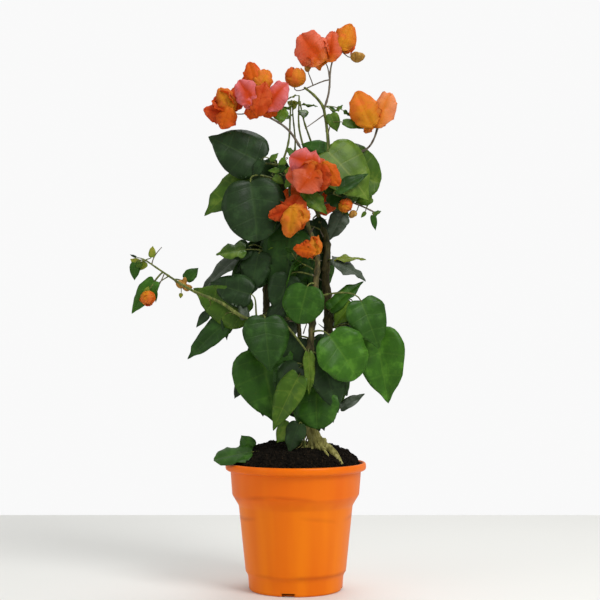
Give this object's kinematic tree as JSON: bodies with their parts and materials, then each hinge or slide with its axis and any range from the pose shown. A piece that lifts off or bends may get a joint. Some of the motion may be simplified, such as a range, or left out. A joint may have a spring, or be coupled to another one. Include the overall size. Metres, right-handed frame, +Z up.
{
  "type": "potted bougainvillea bush",
  "caption": "Young bougainvillea bush climbing on its own stems, with heart-shaped leaves and orange papery blooms, in a round orange grower's pot full of soil.",
  "frame": {"origin": "centre of the pot's flat underside, on the surface that the plant stands on", "axes": "+Z up along the pot's axis; -Y towards the side that the plant is seen from, +X to the right as seen from there"},
  "size_m": [0.3397, 0.1713, 0.6814],
  "materials": {
    "pot_plastic": "satin",
    "soil": "matte",
    "bark": "matte",
    "green_shoot": "satin",
    "leaf": "satin",
    "young_leaf": "satin",
    "bract": "matte"
  },
  "bodies": {
    "root": {"pot": "pot_plastic", "soil": "soil", "trunk": "bark", "stem_left": "bark", "stem_middle": "bark", "stem_right": "bark", "stem_back": "bark", "bough_riser": "green_shoot", "bough_arch": "green_shoot", "bough_top": "green_shoot", "bough_left_bloom": "green_shoot", "bough_right_bloom": "green_shoot", "bough_left_long": "green_shoot", "bough_right_twig": "green_shoot", "bloom_top_left": "bract", "bloom_top_right": "bract", "bloom_ball": "bract", "bloom_right": "bract", "bloom_left_pink": "bract", "bloom_left_outer": "bract", "bloom_centre": "bract", "bloom_orange": "bract", "bloom_small": "bract", "bloom_back": "bract", "foliage_upper_left": "leaf", "foliage_left_dark": "leaf", "foliage_left_light": "leaf", "foliage_crest_right": "young_leaf", "foliage_upper_right": "leaf", "foliage_twig_right": "young_leaf", "foliage_stem_right": "young_leaf", "foliage_left_small": "young_leaf", "foliage_left_grey": "leaf", "foliage_right_flat": "young_leaf", "foliage_right_pointed": "young_leaf", "foliage_left_bright": "leaf", "foliage_left_inner": "leaf", "foliage_left_blade": "young_leaf", "foliage_tip_upper": "young_leaf", "foliage_tip_lower": "young_leaf", "foliage_heart_centre": "young_leaf", "foliage_heart_left": "leaf", "foliage_heart_low_left": "leaf", "foliage_heart_right": "leaf", "foliage_heart_far_right": "leaf", "foliage_heart_bright": "leaf", "foliage_low_dark": "leaf", "foliage_low_olive": "leaf", "foliage_low_front": "leaf", "foliage_soil_centre": "young_leaf", "foliage_over_rim": "young_leaf", "foliage_core_upper": "leaf", "foliage_back_low_left": "leaf", "foliage_back_low_right": "leaf", "foliage_back_waist_left": "leaf", "foliage_back_waist_right": "leaf", "foliage_back_middle_left": "leaf", "foliage_back_middle_right": "leaf", "foliage_back_upper_left": "leaf", "foliage_back_upper_right": "leaf"}
  },
  "joints": []
}
